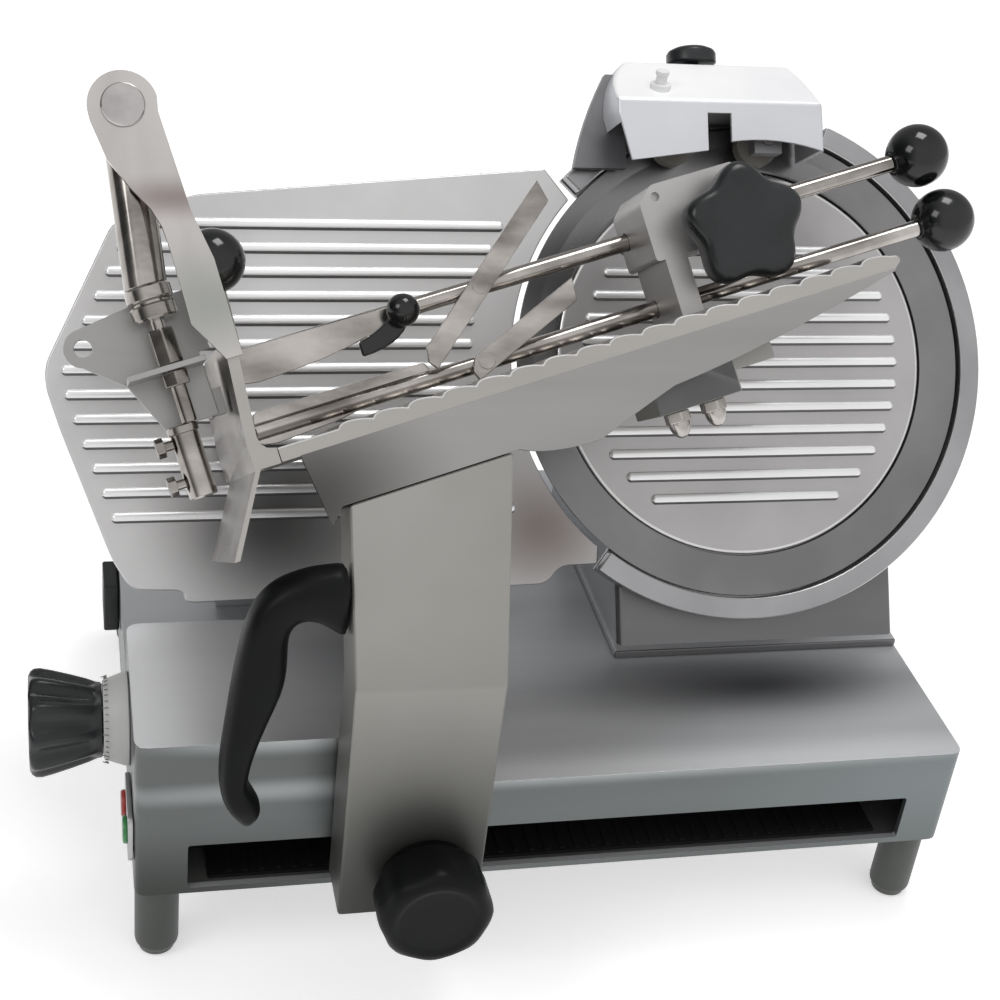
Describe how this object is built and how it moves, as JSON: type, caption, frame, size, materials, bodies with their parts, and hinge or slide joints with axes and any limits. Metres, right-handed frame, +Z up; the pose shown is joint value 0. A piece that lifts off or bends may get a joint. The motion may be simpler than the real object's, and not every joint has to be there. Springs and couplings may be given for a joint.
{
  "type": "meat slicer",
  "caption": "Gravity-feed slicer with a tilted round blade, ribbed gauge plate and disc, sliding tray with product clamp, curved hand grip, thickness knob and sharpener.",
  "frame": {"origin": "centre of the bounding box's footprint, on the surface the feet stand on", "axes": "+X along the carriage's slide, towards the blade; +Z up; the front faces -Y"},
  "size_m": [0.6144, 0.4284, 0.4964],
  "materials": {
    "cast_aluminium": "satin light grey casting, lightly polished",
    "sheet_steel": "brushed sheet",
    "foot_rubber": "matte grey rubber",
    "polished_steel": "polished, bright",
    "blade_steel": "ground, dark grey",
    "grey_casting": "blasted grey casting",
    "grey_metal": "matte grey paint",
    "black_plastic": "glossy black",
    "black_rubber": "matte black",
    "dial_white": "off-white with dark numbers",
    "cover_white": "near white satin",
    "bronze": "plain bearing bronze",
    "abrasive": "grey abrasive",
    "button_green": "green",
    "button_red": "red"
  },
  "bodies": {
    "base": {"base_housing": "cast_aluminium", "bottom_cover": "sheet_steel", "foot_front_left": "foot_rubber", "foot_front_right": "foot_rubber", "foot_rear_left": "foot_rubber", "foot_rear_right": "foot_rubber", "guide_rod": "polished_steel", "track_strip": "black_rubber", "pedestal": "cast_aluminium", "blade_backplate": "cast_aluminium", "guard_ring": "cast_aluminium", "deflector_disc": "cast_aluminium", "disc_tie_bolt": "black_plastic", "motor": "grey_metal", "drive_belt": "black_rubber", "switch_plate": "sheet_steel", "mains_inlet": "black_plastic", "gauge_support": "cast_aluminium", "sharpener_post": "cast_aluminium"},
    "gauge": {"gauge_plate": "cast_aluminium", "gauge_carrier": "polished_steel"},
    "thickness": {"thickness_knob": "black_plastic", "dial_ring": "dial_white"},
    "rotor": {"blade": "blade_steel", "blade_pulley": "grey_casting"},
    "motor_rotor": {"motor_pulley": "grey_casting"},
    "carriage": {"carriage_arm": "grey_casting", "slide_block": "grey_casting", "slide_bush_left": "bronze", "slide_bush_right": "bronze", "hand_grip": "black_plastic", "tray_floor": "polished_steel", "tray_end_wall": "polished_steel", "tray_apron": "cast_aluminium", "post_flange": "polished_steel", "guide_post": "polished_steel", "post_collars": "polished_steel", "ear_bracket": "cast_aluminium", "stop_cylinder": "polished_steel", "clamp_block": "cast_aluminium", "clamp_base": "grey_casting", "dome_nut_1": "polished_steel", "dome_nut_2": "polished_steel"},
    "lock": {"lock_knob": "black_plastic"},
    "star": {"star_knob": "black_plastic"},
    "rod_high": {"clamp_rod_high": "polished_steel", "ball_knob_high": "black_plastic", "finger_high": "polished_steel", "pusher_knob": "black_plastic"},
    "rod_low": {"clamp_rod_low": "polished_steel", "ball_knob_low": "black_plastic", "finger_low": "polished_steel"},
    "cam": {"cam_lever": "black_plastic"},
    "sharpener": {"sharpener_body": "grey_casting", "sharpener_cover": "cover_white"},
    "lift_knob": {"sharpener_knob": "black_plastic"},
    "stone_grinding": {"grinding_stone": "abrasive"},
    "stone_honing": {"honing_stone": "abrasive"},
    "start": {"start_button": "button_green"},
    "stop": {"stop_button": "button_red"}
  },
  "joints": [
    {"name": "carriage_slide", "type": "slide", "parent": "base", "child": "carriage", "axis": [1, 0, 0], "range_m": [-0.075, 0.22]},
    {"name": "blade_spin", "type": "hinge", "parent": "base", "child": "rotor", "pos_m": [0.14215, 0.07389, 0.2881], "axis": [0, -0.8321, 0.5546], "continuous": true},
    {"name": "motor_spin", "type": "hinge", "parent": "base", "child": "motor_rotor", "pos_m": [0.14215, 0.02732, 0.13888], "axis": [0, -0.8321, 0.5546], "continuous": true},
    {"name": "gauge_slide", "type": "slide", "parent": "base", "child": "gauge", "axis": [0, 0.8321, -0.5546], "range_m": [0, 0.015]},
    {"name": "thickness_turn", "type": "hinge", "parent": "base", "child": "thickness", "pos_m": [-0.28255, -0.05891, 0.1285], "axis": [-1, 0, 0], "range_deg": [0, 300]},
    {"name": "lock_turn", "type": "hinge", "parent": "carriage", "child": "lock", "pos_m": [-0.09455, -0.19091, 0.1025], "axis": [0, -1, 0], "range_deg": [0, 360]},
    {"name": "star_turn", "type": "hinge", "parent": "carriage", "child": "star", "pos_m": [0.08337, -0.02591, 0.42686], "axis": [0, -0.8321, 0.5546], "range_deg": [0, 360]},
    {"name": "rod_high_slide", "type": "slide", "parent": "carriage", "child": "rod_high", "axis": [0.9593, 0.1566, 0.2349], "range_m": [0, 0.016]},
    {"name": "rod_low_slide", "type": "slide", "parent": "carriage", "child": "rod_low", "axis": [0.9593, 0.1566, 0.2349], "range_m": [0, 0.025]},
    {"name": "cam_swing", "type": "hinge", "parent": "rod_high", "child": "cam", "pos_m": [-0.11938, -0.01436, 0.34682], "axis": [0, -0.8321, 0.5546], "range_deg": [-20, 30]},
    {"name": "sharpener_lift", "type": "slide", "parent": "base", "child": "sharpener", "axis": [0, 0.5546, 0.8321], "range_m": [0, 0.03]},
    {"name": "sharpener_knob_turn", "type": "hinge", "parent": "sharpener", "child": "lift_knob", "pos_m": [0.11515, 0.18702, 0.44704], "axis": [0, 0.5546, 0.8321], "range_deg": [0, 360]},
    {"name": "grinding_spin", "type": "hinge", "parent": "sharpener", "child": "stone_grinding", "pos_m": [0.09415, 0.13988, 0.40876], "axis": [0, -0.8321, 0.5546], "continuous": true},
    {"name": "honing_spin", "type": "hinge", "parent": "sharpener", "child": "stone_honing", "pos_m": [0.15015, 0.13988, 0.40876], "axis": [0, -0.8321, 0.5546], "continuous": true},
    {"name": "start_press", "type": "slide", "parent": "base", "child": "start", "axis": [1, 0, 0], "range_m": [0, 0.002], "stiffness_N_per_m": 800},
    {"name": "stop_press", "type": "slide", "parent": "base", "child": "stop", "axis": [1, 0, 0], "range_m": [0, 0.002], "stiffness_N_per_m": 800}
  ],
  "couplings": [
    {"joint": "motor_spin", "follows": "blade_spin", "ratio": 2.1111},
    {"joint": "thickness_turn", "follows": "gauge_slide", "rad_per_m": 348}
  ]
}
